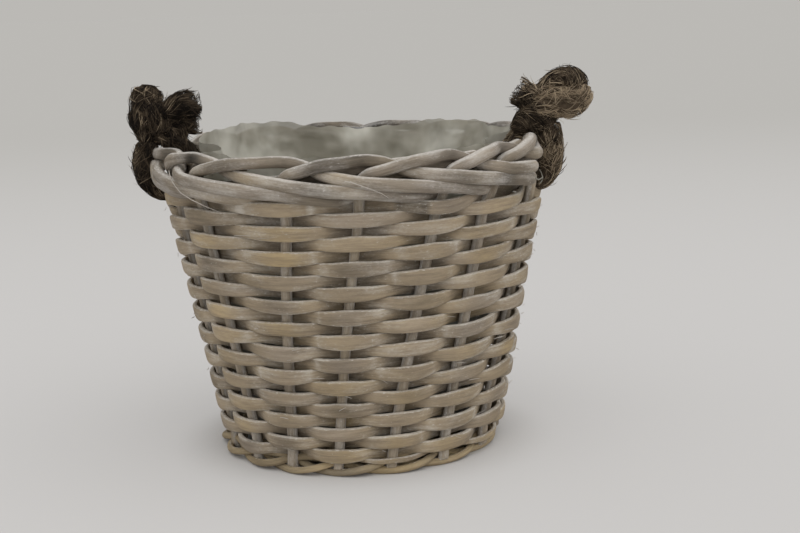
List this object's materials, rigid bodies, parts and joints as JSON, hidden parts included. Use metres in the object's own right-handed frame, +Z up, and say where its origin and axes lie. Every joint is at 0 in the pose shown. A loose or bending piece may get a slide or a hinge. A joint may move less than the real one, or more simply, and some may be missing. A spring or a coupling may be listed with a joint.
{
  "type": "reed basket",
  "caption": "Round reed basket that tapers to its foot, with a rolled border, a film liner and two knotted rope handles.",
  "frame": {"origin": "on the basket's axis, on the surface that it stands on, at the flat underside of the middle base stick", "axes": "+Z up, -Y towards the viewer of the picture, +X to its right, towards the right handle"},
  "size_m": [0.2826, 0.2438, 0.2281],
  "materials": {
    "stake": "matte, weathered and whitewashed",
    "weaver": "matte, split reed with a worn white wash",
    "foot": "matte, thin reed in its own brown",
    "base": "matte, unpainted reed",
    "liner": "thin translucent film, satin",
    "rope": "hairy twisted jute, matte"
  },
  "bodies": {
    "basket": {"stake_01": "stake", "stake_02": "stake", "stake_03": "stake", "stake_04": "stake", "stake_05": "stake", "stake_06": "stake", "stake_07": "stake", "stake_08": "stake", "stake_09": "stake", "stake_10": "stake", "stake_11": "stake", "stake_12": "stake", "stake_13": "stake", "stake_14": "stake", "stake_15": "stake", "weaver_01": "weaver", "weaver_02": "weaver", "weaver_03": "weaver", "weaver_04": "weaver", "weaver_05": "weaver", "weaver_06": "weaver", "weaver_07": "weaver", "weaver_08": "weaver", "weaver_09": "weaver", "weaver_10": "weaver", "weaver_11": "weaver", "weaver_12": "weaver", "weaver_13": "weaver", "weaver_14": "weaver", "weaver_15": "weaver", "weaver_16": "weaver", "weaver_17": "weaver", "weaver_18": "weaver", "weaver_19": "weaver", "foot_rod_1": "foot", "foot_rod_2": "foot", "foot_rod_3": "foot", "base_stick_lower_1": "base", "base_stick_lower_2": "base", "base_stick_lower_3": "base", "base_stick_upper_1": "base", "base_stick_upper_2": "base", "base_stick_upper_3": "base", "base_weaver_1": "base", "base_weaver_2": "base", "film_liner": "liner"},
    "left_handle": {"rope_handle_left": "rope"},
    "right_handle": {"rope_handle_right": "rope"}
  },
  "joints": [
    {"name": "left_handle_tilt", "type": "hinge", "parent": "basket", "child": "left_handle", "pos_m": [-0.11271, -0.01534, 0.1801], "axis": [0.1349, -0.9909, 0], "range_deg": [-25, 25]},
    {"name": "right_handle_tilt", "type": "hinge", "parent": "basket", "child": "right_handle", "pos_m": [0.11347, -0.00793, 0.1801], "axis": [0.0698, 0.9976, 0], "range_deg": [-25, 25]}
  ]
}
